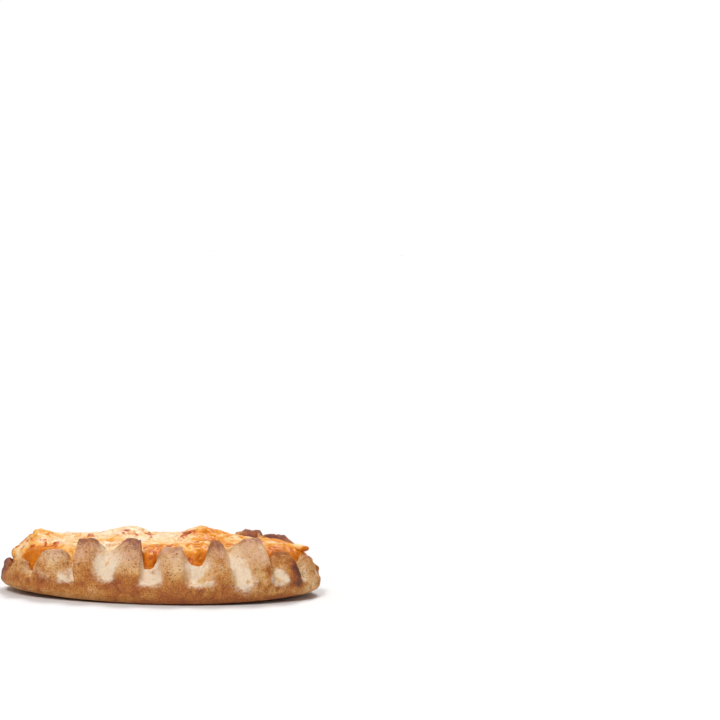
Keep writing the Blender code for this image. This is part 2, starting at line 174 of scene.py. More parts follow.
# The dough's surface
RAGGED = ((1.7 * MM, 0.02), (0.7 * MM, 0.012))  # the edge's nicks: size, and depth as a turn
CREASE = 0.16 * MM
CREASE_SIZE = 4.5 * MM
CREASE_WIDTH = 0.13  # as a share of its noise's range
CREASE_NETS = ((1.0, 1.0), (0.55, 0.7))  # each net's size and strength, as shares
CREASE_SEED = 94
CREASE_BENDS = ((2, 91), (2, 92), (2, 93))  # size in millimetres and seed
CREASE_BEND = 0.6 * MM
CREASE_PATCHES = ((9, 98),)
CREASED = (-0.25, 0.5)
WRINKLE = 0.14 * MM
WRINKLE_WIDTH = 0.9 * MM
WRINKLE_LENGTH = 6.0 * MM
WRINKLE_GROWN = 3 * MM
WRINKLE_SEED = 41
BLISTERS = 90
BLISTER_RADIUS = (0.7 * MM, 1.7 * MM)
BLISTER_RISE = (0.1 * MM, 0.28 * MM)
DOUGH_SEED = 5

# Reliefs: the first noise's seed, then the size and the depth of each in millimetres
DOUGH_RELIEF = (31, (5.0, 0.22), (2.4, 0.16), (1.2, 0.14), (0.6, 0.07))
PORRIDGE_RELIEF = (61, (5.0, 0.3), (2.6, 0.3), (1.3, 0.16))
GRAIN_RELIEF = (81, (1.6, 0.14), (0.8, 0.07))
SWELLING_RELIEF = (85, (3.0, 0.22), (1.6, 0.16), (0.8, 0.07))

# The dough's colours. Its noises have a size in millimetres and a seed.
DOUGH_PATCHES = ((6, 51), (2.6, 52), (1.1, 53))
LIFTED = 0.25 * MM

# Where looks fade in: start and span, in millimetres of height
FLOUR_LOW = (5.2, 3.4)
FLOUR_HIGH = (12, 6)
FLOUR_THIN = 0.8  # how much less flour there is above that
# The upper ridges' pink, partly a painted highlight, fades in from here
PINK_AND_LIT_FROM = (10, 8)
SCORCH_FROM = (1.5, 3)
SHADED_FLANK_FROM = (2.5, 5)
# The next two fade out the base band's browning, which is partly painted shade
UNDER_BROWN_AND_SHADE_TO = (0, 5)
LOW_BROWN_AND_SHADE_TO = (2, 7)

# The same as shares of the way up the wall, and from a groove to a crest
RIM_FROM = (0.93, 0.07)
CHARRED_FROM = (0.55, 0.35)
GROOVE_TO = (0.23, 0.62)
FLOUR_REACH = 8  # how many lines of the mesh to each side the flour fades over

# Where looks are strongest and how far they reach: in millimetres up or along, or as an angle
LIP_AT = (6.0, 0.9)
FOOT_AT = (7.5, 3.6)
# where the base band's browning, partly painted shade, is strongest along the pie
LOW_BROWN_AND_SHADE_AT = (15, 30)
PALE_AT = (math.radians(309), math.radians(6))
SCORCH_AT = (math.radians(183), math.radians(9))
# Painted shade on the right flank of the claw, the pleat that leans furthest, where it faces away from the
# light
SHADED_FLANK_AT = math.radians(330.8)
SHADED_FLANK_SPAN = math.radians(3.0)
SHADED_FLANK_TURN = math.radians(4.0)  # how far the painted shade on the claw's right flank moves round between heights of 3 and 15 mm

# How common each look is, and how much that varies from place to place
PATCHY = dict(lip=(0.55, 0.9), charred=(0.7, 0.9), shaded_flank=(0.8, 0.7), rim=(0.35, 0.9), tips=(0.8, 1.0))

# How brown and how floury each look makes the dough. under and low brown the base band: partly its baked
# colour, partly painted shade, which grows towards the right and leaves a painted highlight on the left.
BROWN = dict(
    all=0.36, foot=0.21, under=0.3, low=0.26, lip=0.34, rim=0.06, pale=-0.16, floury=-0.08,
    blotch=0.12, patch=0.08, mottle=0.08, lifted=-0.05, crease=0.1,
)
BROWNEST = 0.64  # browner only where the dough is scorched, and where shade is painted on the claw's right flank
BROWNER = 0.25  # how much of what lies above that is kept
# The first paints shade on the claw's right flank; the other two darken scorched and charred dough
SCORCHED_AND_SHADED = dict(shaded_flank=0.46, scorch=0.45, charred=0.45)
FLOUR = dict(all=0.95, blotch=0.4, patch=0.9, mottle=0.35, lifted=-0.1)
PLACE_BROWN = dict(all=1.0, patch=0.8)
PLACE_FLOUR = dict(all=0.9, patch=0.8, mottle=0.4)
TIP = dict(rim=0.7, scorch=1.0, charred=0.8)

# The rice
RICE_ALONG = 330
RICE_ACROSS = 200
RICE_SHOULDER = 0.62  # where the mound levels out, as a share of the way out
RICE_SKIRT_ROWS = 3
RICE_CORNER_ROWS = 2
LUMP = 0.4 * MM
LUMPS_FROM = (0.1, 0.35)
HUMPS = (  # place along and across the pie, half-width and height, in millimetres
    (-12, 4, 7.5, 4.0), (14, 5, 7.5, 3.8), (1, 0, 6, -0.4), (-41.5, -1, 5.5, 3.2), (24, 6, 6, 0.9),
    (34, 8, 9, -1.0), (43, 0, 6, -0.8),
)
SWELLINGS = (  # each bulging lump's middle and half-sizes, in millimetres
    (-45.5, -1.5, 12.6, 5.8, 6.5, 3.6), (45.3, -2.0, 16.4, 4.4, 2.0, 1.5),
    (-4.1, -23.9, 14.0, 2.4, 3.5, 3.2), (10.4, -22.2, 14.7, 2.9, 3.2, 2.8),
)
SWELLING_SIDES = 96
SWELLING_RINGS = 48
EDGE_EVENED = math.radians(1.2)  # how far its edge is evened out to each side
EVENING_STEPS = 25
CREAM_AND_HIGHLIGHT_SPOTS = (  # place along, across and up and half-width, in millimetres, then how much paler it is; the last is a painted highlight
    (-31, -20, 14.5, 4.5, 0.6), (-46.5, -4, 15.8, 4, 0.85), (11, 6, 22, 4, 0.85), (-19, -20, 17, 4, 0.85),
    (-49, -7, 13, 2.5, 0.85), (-41, -8, 19, 3.8, 0.85), (46, -3, 18, 3, 0.85), (-6.5, -25, 15.5, 3, 0.2),
)
TOAST_SPOTS = (  # the same for the most toasted places, without the last number
    (-47, -3, 17, 4.0), (-38, -12, 18, 4.0), (-17, -18, 19, 2.5), (-3.5, -25, 15, 3.5), (1, -20, 18, 3.0),
    (9, -24, 14, 2.0), (8, 0, 21, 4.0),
)
GOLD_SPOTS = (  # and for the most golden places
    (18, 0, 20.5, 6.5), (27, -6, 18, 6.5), (-3, -17, 18.5, 6.5), (-10, -19, 17, 4), (-19, -14, 18, 5),
    (-40, -4, 18, 5), (-1, -8, 19.5, 6), (24, -12, 18.5, 5), (-4, -11, 19, 5), (-18, -10, 19, 5),
)
CLOSE_GAP = 0.35 * MM  # how far the porridge swells against the crust
GRAIN_LENGTH = 6.0 * MM
GRAIN_WIDTH = 2.3 * MM
RELIEF_FADE = 0.06  # the relief fades in over this share of the way out
SUNK_GRAINS = 1400
SUNK_SIZES = (0.8, 1.1)
SUNK_LENGTHS = (0.85, 1.1)
SUNK_PITCH = 0.16
SUNK_DEPTH = (0.3, 1.0)  # how deep its middle lies, as a share of half its width
SUNK_SEED = 23
BLEND = 0.3 * MM  # how softly grains run together
GRAINS = 116
GRAIN_SIZES = (0.85, 1.1)
GRAIN_PITCH = 0.35
GRAIN_BEND = 0.6 * MM
GRAIN_PLUMP = 0.85  # less is plumper
GRAIN_SINK = 0.35 * MM
GRAIN_CLEARANCE = 0.5 * MM
GRAIN_TESTED = 7  # measured at every seventh point
GRAIN_DEEPER = (0.25 * MM, 0.75 * MM)  # how much lower than in the solid
GRAIN_SEED = 7
SPREAD_LENGTH = 48 * MM
SPREAD_WIDTH = 28 * MM
GOLDEN_ANGLE = math.pi * (3 - math.sqrt(5))
GRAIN_RINGS = 12
GRAIN_SIDES = 14

# The rice's colours. Looks fade in over millimetres up, along or across the pie, or shares of the way out.
RICE_PATCHES = ((9, 71), (3.5, 72), (7, 73), (1.9, 74), (0.9, 75), (8, 76), (6, 77))
RAISED = 0.7 * MM
GRAIN_RAISED = 0.3 * MM
# Where the rice's orange deepens on its low, front and edge sides, partly as painted shade
BELOW_TO = (13.9, 4.5)
SHADED_NOTCH_TO = (-24, 5)
FRONT_TO = (-16, 12)
GOLDEN_FROM = (2, 14)
BESIDE_FROM = (0.8, 0.22)
BESIDE_INSET = 7 * MM
# How much deeper orange each look makes the rice. The low, steep, front, notch and edge-side terms, and the
# hollows between raised grains, are partly the porridge's own colour and partly painted shade
DEEP_AND_SHADE = dict(
    all=0.2, below=0.42, steep=0.2, beside=0.42, golden=0.5, shaded_notch=0.16, front=0.1, gold=0.38,
    blotch=0.22, patch=0.14, tone=0.05, raised=-0.2,
)
TOAST = 0.62
HOT_TOAST = 0.85


def smooth(x):
    """0 below 0, 1 above 1, and a smooth step between."""
    x = np.clip(x, 0, 1)
    return x * x * (3 - 2 * x)


def fade(x, start, span):
    """0 up to the start, then rising smoothly to 1 over the span."""
    return smooth((x - start) / span)


def bell(x, middle, width):
    """1 in the middle, falling softly to 0 on both sides."""
    return np.exp(-(((x - middle) / width) ** 2))


def noise(points, size, seed):
    """Smooth noise from -1 to 1, with features of about this size."""
    table = np.random.default_rng(seed).uniform(-1, 1, 4096)
    scaled = points / size
    low = np.floor(scaled).astype(np.int64)
    part = smooth(scaled - low)
    total = np.zeros(len(points))
    for step in itertools.product((0, 1), repeat=3):
        x, y, z = (low + step).T
        key = (x * 73856093) ^ (y * 19349663) ^ (z * 83492791)
        weight = np.where(np.array(step) == 1, part, 1 - part).prod(axis=1)
        total += weight * table[key % len(table)]
    return total


def layered(points, seed, *layers):
    """Noise in layers, each with its size and its depth in millimetres."""
    return sum(depth * MM * noise(points, size * MM, seed + i) for i, (size, depth) in enumerate(layers))


def patches(points, sizes):
    """A noise for each size in millimetres and seed."""
    return (noise(points, size * MM, seed) for size, seed in sizes)


def weighed(weights, looks):
    """The sum of the looks, each times its weight."""
    return sum(weight * looks[name] for name, weight in weights.items())


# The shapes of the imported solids


def even_angles(count, start, end, steps=1440):
    """Angles evenly spaced along the oval's edge, without the end."""
    angles = np.linspace(0, math.tau, steps + 1)
    pieces = np.hypot(np.diff(HALF_LENGTH * np.cos(angles)), np.diff(HALF_WIDTH * np.sin(angles)))
    lengths = np.concatenate(([0], np.cumsum(pieces)))
    first, last = np.interp((start, end), angles, lengths)
    return np.interp(np.linspace(first, last, count, endpoint=False), lengths, angles)


def wobble(angle):
    """A slow unevenness of the oval, as a share of its size."""
    return 0.01 * np.sin(2 * angle + 0.7) + 0.008 * np.sin(3 * angle - 1.1) + 0.004 * np.sin(5 * angle + 2.0)


def uneven(angle, height):
    """Shallow hollows and swellings in the dough."""
    bend = 2 * np.sin(5 * angle)
    rising = np.sin(23 * angle + bend + height / (2.1 * MM))
    falling = np.sin(39 * angle + bend - height / (3.3 * MM))
    return UNEVEN * rising * falling


def place(angle, inward, height):
    """Points a distance inward from the oval's edge, along the edge's normal."""
    edge_x = HALF_LENGTH * np.cos(angle)
    edge_y = HALF_WIDTH * np.sin(angle)
    share = inward / np.hypot(edge_x * (1 - AXIS_SHARE), edge_y)
    size = 1 + wobble(angle)
    x = edge_x * (1 - (1 - AXIS_SHARE) * share) * size + MIDDLE[0]
    y = edge_y * (1 - share) * size + MIDDLE[1]
    return np.stack(np.broadcast_arrays(x, y, height), axis=-1)


def bulge_thick(angle):
    """How thick the crust is at the bulge, where the mound's foot lies."""
    return BULGE_THICK_END + (BULGE_THICK_SIDE - BULGE_THICK_END) * np.sin(angle) ** 2


def climb_at(turn):
    """The mound's height at this turn, as a share of its rise."""
    return np.clip(np.sin(turn), 0, 1) ** (2 / MOUND_ROUND)


def mound(angle, turn, offset):
    """Distance inward and height on the mound's side, moved out along its normal by offset."""
    rise = MOUND_TOP - BULGE_HEIGHT
    across = np.clip(np.cos(turn), 0, 1) ** (2 / MOUND_ROUND)
    up = climb_at(turn)
    normal_in = -across ** (MOUND_ROUND - 1) / MOUND_SLOPE
    normal_up = up ** (MOUND_ROUND - 1) / rise
    length = np.hypot(normal_in, normal_up)
    inward = bulge_thick(angle) + MOUND_SLOPE * (1 - across) + offset * normal_in / length
    height = BULGE_HEIGHT + rise * up + offset * normal_up / length
    return inward, height


def crest_thickness(turn, thick):
    """How thick the crust is under a crest, which is thickest at its top."""
    return thick * (CREST_FOOT_SHARE + (1 - CREST_FOOT_SHARE) * climb_at(turn))


def turn_for(height, thick, rule, steps=90):
    """The turns at which a crust this thick has its outside at these heights."""
    turns = np.linspace(0, math.pi / 2, steps)
    found = [np.interp(h, mound(0, turns, rule(turns, t))[1], turns) for h, t in zip(height, thick)]
    return np.array(found)


def high(angle):
    """1 where the crests on the back are highest, fading to 0 at its sides."""
    return np.exp(-(((angle - HIGH_AT) / HIGH_SPAN) ** 4))


def pleat_rows():
    """All pleats round the oval, in radians and metres, with the columns of FRONT_PLEATS."""
    front = np.array(FRONT_PLEATS, dtype=float)
    front[:, 0] = np.radians(front[:, 0])
    draw = random.Random(BACK_SEED)
    first = front[-1, 0] - math.tau
    angles = first + even_angles(BACK_PLEATS + 1, 0.0, front[0, 0] - first)
    half_step = (angles[-1] - angles[1]) / (2 * (BACK_PLEATS - 1))
    back = []
    for angle in angles[1:]:
        end = abs(math.cos(angle)) ** 4
        crest = draw.uniform(*BACK_CREST) - BACK_END_DROP * end
        crest += (HIGH_CREST - crest) * high(angle)
        beside = high(angle + half_step)
        edge = draw.uniform(*BACK_EDGE) - BACK_EDGE_DROP * end
        edge += (HIGH_EDGE - edge) * beside
        edge = min(edge, crest - BACK_STEP + (BACK_STEP - HIGH_STEP) * beside)
        thick = draw.uniform(*BACK_THICK) - BACK_END_THIN * end
        lean = BACK_LEAN * math.sin(2 * angle) + draw.uniform(-BACK_LEAN_STRAY, BACK_LEAN_STRAY)
        steep = draw.uniform(*BACK_STEEP)
        flat = draw.uniform(*BACK_FLAT) + HIGH_FLAT * high(angle)
        angle += draw.uniform(-BACK_STRAY, BACK_STRAY)
        back.append((angle, crest, edge, thick, lean, steep, 1 - steep, flat))
    rows = np.vstack((back, front))
    rows[:, 1:5] *= MM
    return rows


class Columns:
    """The upright lines of the crust's mesh, the same number to each pleat, so that each crest is a line.

    Each method takes a share of the way from the bulge to the crust's edge.
    """

    def __init__(self, per_pleat, ragged=()):
        rows = pleat_rows()
        after = np.roll(rows, -1, axis=0)
        after[-1, 0] += math.tau
        meeting = rows[:, 6] / (rows[:, 6] + after[:, 5])
        count = np.arange(per_pleat) / per_pleat
        u = np.concatenate([np.interp(count, (0, 0.5, 1), (0, m, 1)) for m in meeting])
        here = np.repeat(rows, per_pleat, axis=0).T
        there = np.repeat(after, per_pleat, axis=0).T
        mixed = here + (there - here) * smooth(u)
        falling = 1 - fade(u, here[7], here[6] - here[7])
        rising = 1 - fade(1 - u, there[7], there[5] - there[7])
        self.angle = here[0] + (there[0] - here[0]) * u
        self.wave = 1 - (1 - falling) * (1 - rising)
        self.thick = mixed[3]
        self.lean = mixed[4]
        self.fold = FOLD * ((here[5] - here[6]) * falling + (there[5] - there[6]) * rising)
        crest_turn = turn_for(mixed[1], self.thick, crest_thickness)
        groove_turn = turn_for(here[2], self.thick, lambda turn, thick: GROOVE_THICK)
        self.edge_turn = groove_turn + (crest_turn - groove_turn) * self.wave
        self.full_turn = turn_for([PLEAT_FULL], [0], lambda turn, thick: 0)
        rim = place(self.angle, 0, 0)
        for seed, (size, depth) in enumerate(ragged):
            self.edge_turn = self.edge_turn + depth * noise(rim, size, seed)

    def mixed(self, values):
        """A value for each groove, given to every line of the pleats on its two sides."""
        values = np.array(values)
        per_pleat = len(self.angle) // len(values)
        before = np.repeat(np.roll(values, 1), per_pleat)
        after = np.repeat(values, per_pleat)
        return np.where(self.wave < 1, after, (before + after) / 2)

    def turn(self, share):
        """The turns at this share, the same for all lines until the grooves are at their depth."""
        past = np.clip((share - LOW_SHARE) / (1 - LOW_SHARE), 0, 1)
        return self.full_turn * min(share / LOW_SHARE, 1) + (self.edge_turn - self.full_turn) * past

    def shifted(self, turn, grown):
        """The angles of the lines at this turn, with the pleats' lean and fold."""
        climb = climb_at(turn)
        stray = MEANDER * np.sin(MEANDER_TURNS * self.angle + MEANDER_BEND * climb) * climb
        return self.angle + (self.lean * climb + self.fold * grown + stray) / HALF_LENGTH

    def wall(self, share):
        """Points on the outside of the wall."""
        turn = self.turn(share)
        climb = climb_at(turn)
        level = BULGE_HEIGHT + (MOUND_TOP - BULGE_HEIGHT) * climb
        grown = fade(level, PLEAT_LOW, PLEAT_FULL - PLEAT_LOW)
        ridge = self.wave ** (SWELL[0] + SWELL[1] * climb)
        pleated = GROOVE_THICK + (crest_thickness(turn, self.thick) - GROOVE_THICK) * ridge
        foot = bulge_thick(self.angle)
        bulge = np.sin(math.pi * np.clip((level - BULGE_HEIGHT) / LIP_RISE, 0, 1))
        lip = LIP * (1 - self.wave) * np.sin(self.angle) ** 2 * bulge
        angle = self.shifted(turn, grown)
        thick = foot + (pleated - foot) * grown + lip + uneven(angle, level)
        return place(angle, *mound(angle, turn, thick))

    def inner(self, share):
        """Points on the inside of the wall, a small gap off the rice."""
        turn = self.turn(share)
        angle = self.shifted(turn, 0)
        return place(angle, *mound(angle, turn, GAP))

    def edge(self, share):
        """Points over the rounded edge of the sheet, with the share running from outside to inside."""
        outside = self.wall(1)
        inside = self.inner(1)
        further = outside - self.wall(EDGE_FROM)
        along = further / np.linalg.norm(further, axis=1)[:, None]
        thick = np.linalg.norm(outside - inside, axis=1)
        bulge = np.minimum(EDGE_ROUND, thick / 2) * math.sin(math.pi * share)
        middle = outside + (inside - outside) * (1 - math.cos(math.pi * share)) / 2
        return middle + along * bulge[:, None]


def corner(angle, share, low, low_inset, side_inset):
    """Points round a lower corner, from its lowest line at 0 up to the bulge at 1."""
    turn = share * math.pi / 2
    inward = side_inset + (low_inset - side_inset) * (1 - math.sin(turn))
    height = low + (BULGE_HEIGHT - low) * (1 - math.cos(turn))
    return place(angle, inward, height)


def lumps(x, y):
    """The uneven top of the porridge, above the smooth mound."""
    x = x / MM
    y = y / MM
    wide = np.sin(x / 5.1 + 1.3 * np.sin(y / 6.7))
    small = np.sin(y / 3.9 + 0.8 * np.sin(x / 4.3 + 2))
    height = LUMP * (wide + 0.7 * small)
    for along, across, width, rise in HUMPS:
        height = height + rise * MM * np.exp(-(((x - along) ** 2 + (y - across) ** 2) / width**2))
    return height


def crown(x, y):
    """How much the mound still rises from its shoulder towards the middle."""
    out = (x / (HALF_LENGTH - MOUND_SLOPE)) ** 2 + (y / (HALF_WIDTH - MOUND_SLOPE)) ** 2
    return MOUND_CROWN * smooth(1 - out)


# Making meshes


def put(name, data):
    """A new object with this data, in the scene."""
    thing = bpy.data.objects.new(name, data)
    bpy.context.scene.collection.objects.link(thing)
    return thing


def make_object(name, points, faces):
    """A smooth object from an array of points and a list of faces."""
    mesh = bpy.data.meshes.new(name)
    mesh.from_pydata(points.tolist(), [], faces)
    mesh.shade_smooth()
    return put(name, mesh)


def repeated(name, bodies, faces):
    """One object of several bodies that all have these faces, and its points."""
    points = np.concatenate(bodies)
    starts = range(0, len(points), len(bodies[0]))
    return make_object(name, points, [tuple(s + k for k in face) for s in starts for face in faces]), points


def ball_angles(rings, sides):
    """The angles down from a ball's pole and round it, without the two poles."""
    down = np.linspace(0, math.pi, rings + 1)[1:-1]
    return np.meshgrid(down, np.linspace(0, math.tau, sides, endpoint=False), indexing="ij")


def bands(rings, sides):
    """The quads between rings of points."""
    for low in range(0, (rings - 1) * sides, sides):
        for i in range(sides):
            j = (i + 1) % sides
            yield low + i, low + j, low + sides + j, low + sides + i


def ring_faces(rings, sides):
    """Quads between rings of points, and the first and last ring's own faces."""
    return [*bands(rings, sides), tuple(range(sides))[::-1], tuple(range((rings - 1) * sides, rings * sides))]


def normals_of(mesh):
    """The mesh's point normals as an array."""
    normals = np.empty(len(mesh.vertices) * 3, dtype=np.float32)
    mesh.vertex_normals.foreach_get("vector", normals)
    return normals.reshape(-1, 3).astype(float)


def move_out(mesh, distances):
    """Moves each point along its normal."""
    points = np.empty(len(mesh.vertices) * 3)
    mesh.vertices.foreach_get("co", points)
    moved = points.reshape(-1, 3) + normals_of(mesh) * distances[:, None]
    mesh.vertices.foreach_set("co", moved.ravel())
    mesh.update()


def store(mesh, **looks):
    """Keeps numbers from 0 to 1 for each point, which the materials read."""
    for name, values in looks.items():
        held = mesh.attributes.new(name, "FLOAT", "POINT")
        held.data.foreach_set("value", np.ascontiguousarray(np.clip(values, 0, 1), dtype=np.float32))


# Materials


class Look:
    """A material being made. Each method adds a node and gives back its output. Sizes are in millimetres."""

    def __init__(self, name):
        self.material = bpy.data.materials.new(name)
        self.material.use_nodes = True
        self.tree = self.material.node_tree
        self.shader = self.tree.nodes["Principled BSDF"]
        self.object_place = self.add("ShaderNodeTexCoord").outputs["Object"]

    def add(self, kind, inputs=None, **settings):
        node = self.tree.nodes.new(kind)
        for name, value in settings.items():
            setattr(node, name, value)
        for key, value in (inputs or {}).items():
            self.feed(node.inputs[key], value)
        return node

    def feed(self, socket, value):
        if isinstance(value, bpy.types.NodeSocket):
            self.tree.links.new(value, socket)
        else:
            socket.default_value = value

    def set(self, **values):
        for name, value in values.items():
            self.feed(self.shader.inputs[name.replace("_", " ")], value)

    def value(self, name):
        return self.add("ShaderNodeAttribute", attribute_name=name).outputs["Fac"]

    def noise(self, size, detail=3.0, rough=0.55, warp=0.0):
        inputs = {"Vector": self.object_place, "Scale": 1 / (size * MM), "Detail": detail, "Roughness": rough}
        return self.add("ShaderNodeTexNoise", {**inputs, "Distortion": warp}).outputs["Fac"]

    def cells(self, size, where):
        """Distance to the nearest of scattered points, and a random colour for each."""
        node = self.add("ShaderNodeTexVoronoi", {"Vector": where, "Scale": 1 / (size * MM)})
        return node.outputs["Distance"], node.outputs["Color"]

    def warped(self, size, amount):
        """The object's own coordinates, pushed about a little."""
        push = self.add("ShaderNodeTexNoise", {"Vector": self.object_place, "Scale": 1 / (size * MM)})
        centred = self.vector("SUBTRACT", push.outputs["Color"], (0.5, 0.5, 0.5))
        scaled = self.vector("MULTIPLY", centred, (amount * MM,) * 3)
        return self.vector("ADD", self.object_place, scaled)

    def vector(self, operation, first, second):
        return self.add("ShaderNodeVectorMath", {0: first, 1: second}, operation=operation).outputs["Vector"]

    def math(self, operation, first, second, clamp=False):
        inputs = {0: first, 1: second}
        return self.add("ShaderNodeMath", inputs, operation=operation, use_clamp=clamp).outputs["Value"]

    def between(self, value, low, high, start=0.0, end=1.0):
        """The value's place between low and high, from start to end."""
        inputs = {"Value": value, "From Min": low, "From Max": high, "To Min": start, "To Max": end}
        return self.add("ShaderNodeMapRange", inputs, interpolation_type="SMOOTHSTEP").outputs["Result"]

    def mix(self, share, first, second):
        return self.add("ShaderNodeMix", {0: share, 6: first, 7: second}, data_type="RGBA").outputs[2]

    def ramp(self, value, stops):
        node = self.add("ShaderNodeValToRGB", {"Fac": value})
        elements = node.color_ramp.elements
        while len(elements) < len(stops):
            elements.new(1.0)
        for element, (position, colour) in zip(elements, stops):
            element.position = position
            element.color = (*colour, 1)
        return node.outputs["Color"]

    def bump(self, height, distance, strength=1.0, under=None):
        inputs = {"Height": height, "Distance": distance * MM, "Strength": strength}
        if under:
            inputs["Normal"] = under
        return self.add("ShaderNodeBump", inputs).outputs["Normal"]


# From pale dough to scorched crust
CRUST_COLOURS = (
    (0.00, (0.84, 0.62, 0.38)),
    (0.2, (0.76, 0.47, 0.215)),
    (0.38, (0.63, 0.312, 0.105)),
    (0.55, (0.49, 0.185, 0.034)),
    (0.7, (0.385, 0.106, 0.026)),
    (0.85, (0.2, 0.055, 0.022)),
    (1.00, (0.09, 0.028, 0.022)),
)
FLOUR_COLOUR = (0.88, 0.72, 0.54, 1)
BRAN_COLOUR = (0.17, 0.055, 0.018, 1)
# Pink on the upper ridges, lighter than the dough below: partly their own tint, partly a painted highlight
# from above
PINK_AND_LIT_COLOUR = (0.68, 0.37, 0.255, 1)
TIP_COLOUR = (0.27, 0.095, 0.07, 1)
FLECKS = (  # the net's size, the flecks' radius in it from and to, and the share left out
    (1.2, 0.14, 0.36, 0.45),
    (0.62, 0.24, 0.52, 0.15),
)


def crust_look():
    """Baked rye dough: floury grooves, browned crests, flecks of bran, and pinker upper ridges that are
    partly a painted highlight.
    """
    look = Look("baked_crust")
    coarse = look.noise(3.2, 3, 0.5)
    grain = look.noise(0.45, 3, 0.6)
    level = look.math("ADD", look.value("brown"), look.between(coarse, 0.3, 0.7, -0.06, 0.06))
    level = look.math("ADD", level, look.between(grain, 0.25, 0.75, -0.15, 0.16), clamp=True)
    colour = look.ramp(level, CRUST_COLOURS)
    # Upper ridges made pinker and lighter, partly as a painted highlight
    pink_and_lit = look.math("MULTIPLY", look.value("top"), look.between(look.noise(2.4), 0.3, 0.65, 0.1, 0.8))
    pink_and_lit = look.math("MULTIPLY", pink_and_lit, look.between(level, 0.3, 0.6, 1.0, 0.0))
    colour = look.mix(pink_and_lit, colour, PINK_AND_LIT_COLOUR)
    tip = look.math("MULTIPLY", look.value("tip"), look.between(look.noise(1.2), 0.3, 0.6, 0.25, 0.85))
    colour = look.mix(tip, colour, TIP_COLOUR)
    thin = look.between(look.noise(0.9, 4, 0.6), 0.3, 0.65, -0.2, 0.2)
    dust = look.between(look.math("ADD", look.value("flour"), thin), 0.05, 1.0, 0.0, 0.95)
    dust = look.math("MULTIPLY", dust, look.between(look.value("flour"), 0.0, 0.2))
    colour = look.mix(dust, colour, FLOUR_COLOUR)
    where = look.warped(0.45, 0.75)
    crowd = look.between(look.noise(3.5, 3, 0.6), 0.35, 0.65, 0.45, 1.0)
    crowd = look.math("MULTIPLY", crowd, look.between(look.value("flour"), 0.1, 0.8, 1.0, 0.35))
    for size, low, high, least in FLECKS:
        distance, shade = look.cells(size, where)
        pick = look.add("ShaderNodeSeparateColor", {"Color": shade})
        radius = look.between(pick.outputs["Red"], least, 1.0, low, high)
        inside = look.math("SUBTRACT", radius, distance)
        present = look.math("GREATER_THAN", pick.outputs["Red"], least)
        fleck = look.math("MULTIPLY", look.between(inside, 0.0, 0.14), present)
        fleck = look.math("MULTIPLY", fleck, look.between(pick.outputs["Green"], 0.0, 1.0, 0.2, 0.9))
        fleck = look.math("MULTIPLY", fleck, crowd)
        colour = look.mix(fleck, colour, BRAN_COLOUR)
    fine = look.noise(0.28, 4, 0.65)
    normal = look.bump(grain, 0.35, 0.8)
    normal = look.bump(fine, 0.14, 0.7, normal)
    look.set(
        Base_Color=colour,
        Roughness=look.between(level, 0.0, 1.0, 0.86, 0.5),
        Normal=normal,
        Subsurface_Weight=0.1,
        Subsurface_Radius=(1.0, 0.5, 0.25),
        Subsurface_Scale=0.7 * MM,
        Specular_IOR_Level=0.25,
    )
    return look.material


# From creamy porridge to deep orange skin, whose deeper end also stands for painted shade
RICE_COLOURS = (
    (0.00, (0.89, 0.7, 0.48)),
    (0.25, (0.88, 0.58, 0.29)),
    (0.48, (0.86, 0.42, 0.085)),
    (0.72, (0.77, 0.265, 0.01)),
    (1.00, (0.6, 0.16, 0.003)),
)
TOAST_COLOURS = (
    (0.00, (0.84, 0.34, 0.05)),
    (0.4, (0.68, 0.17, 0.02)),
    (0.7, (0.4, 0.07, 0.015)),
    (1.00, (0.17, 0.03, 0.012)),
)


def rice_look():
    """Baked rice porridge: cream to orange, the orange partly painted shade, glossy, with toasted spots."""
    look = Look("baked_rice")
    coarse = look.noise(3.0, 4, 0.6)
    streak = look.noise(1.1, 4, 0.6, 0.8)
    level = look.math("ADD", look.value("deep"), look.between(coarse, 0.3, 0.7, -0.12, 0.12))
    level = look.math("ADD", level, look.between(streak, 0.3, 0.7, -0.1, 0.12), clamp=True)
    colour = look.ramp(level, RICE_COLOURS)
    speck = look.noise(0.8, 3, 0.55, 0.3)
    cooked = look.math("ADD", look.value("toast"), look.between(speck, 0.35, 0.65, -0.16, 0.16))
    colour = look.mix(look.between(cooked, 0.1, 0.5), colour, look.ramp(cooked, TOAST_COLOURS))
    fine = look.noise(0.35, 3, 0.6)
    normal = look.bump(look.noise(0.9, 3, 0.55), 0.16, 0.6)
    normal = look.bump(fine, 0.05, 0.5, normal)
    look.set(
        Base_Color=colour,
        Roughness=look.between(look.noise(1.6, 3, 0.6), 0.3, 0.7, 0.28, 0.52),
        Normal=normal,
        Subsurface_Weight=0.3,
        Subsurface_Radius=(1.0, 0.45, 0.15),
        Subsurface_Scale=1.1 * MM,
        Specular_IOR_Level=0.17,
        Coat_Weight=0.06,
        Coat_Roughness=0.2,
    )
    return look.material


# The crust


def blister_relief(points, normals):
    """Small swellings scattered over the outside of the dough."""
    draw = np.random.default_rng(DOUGH_SEED)
    relief = np.zeros(len(points))
    for index in draw.choice(len(points), BLISTERS, replace=False):
        radius = draw.uniform(*BLISTER_RADIUS)
        rise = draw.uniform(*BLISTER_RISE)
        near = np.abs(points - points[index]).max(axis=1) < radius
        away = np.linalg.norm(points[near] - points[index], axis=1) / radius
        relief[near] += rise * smooth(1 - away) * (normals[near] @ normals[index] > 0)
    return relief


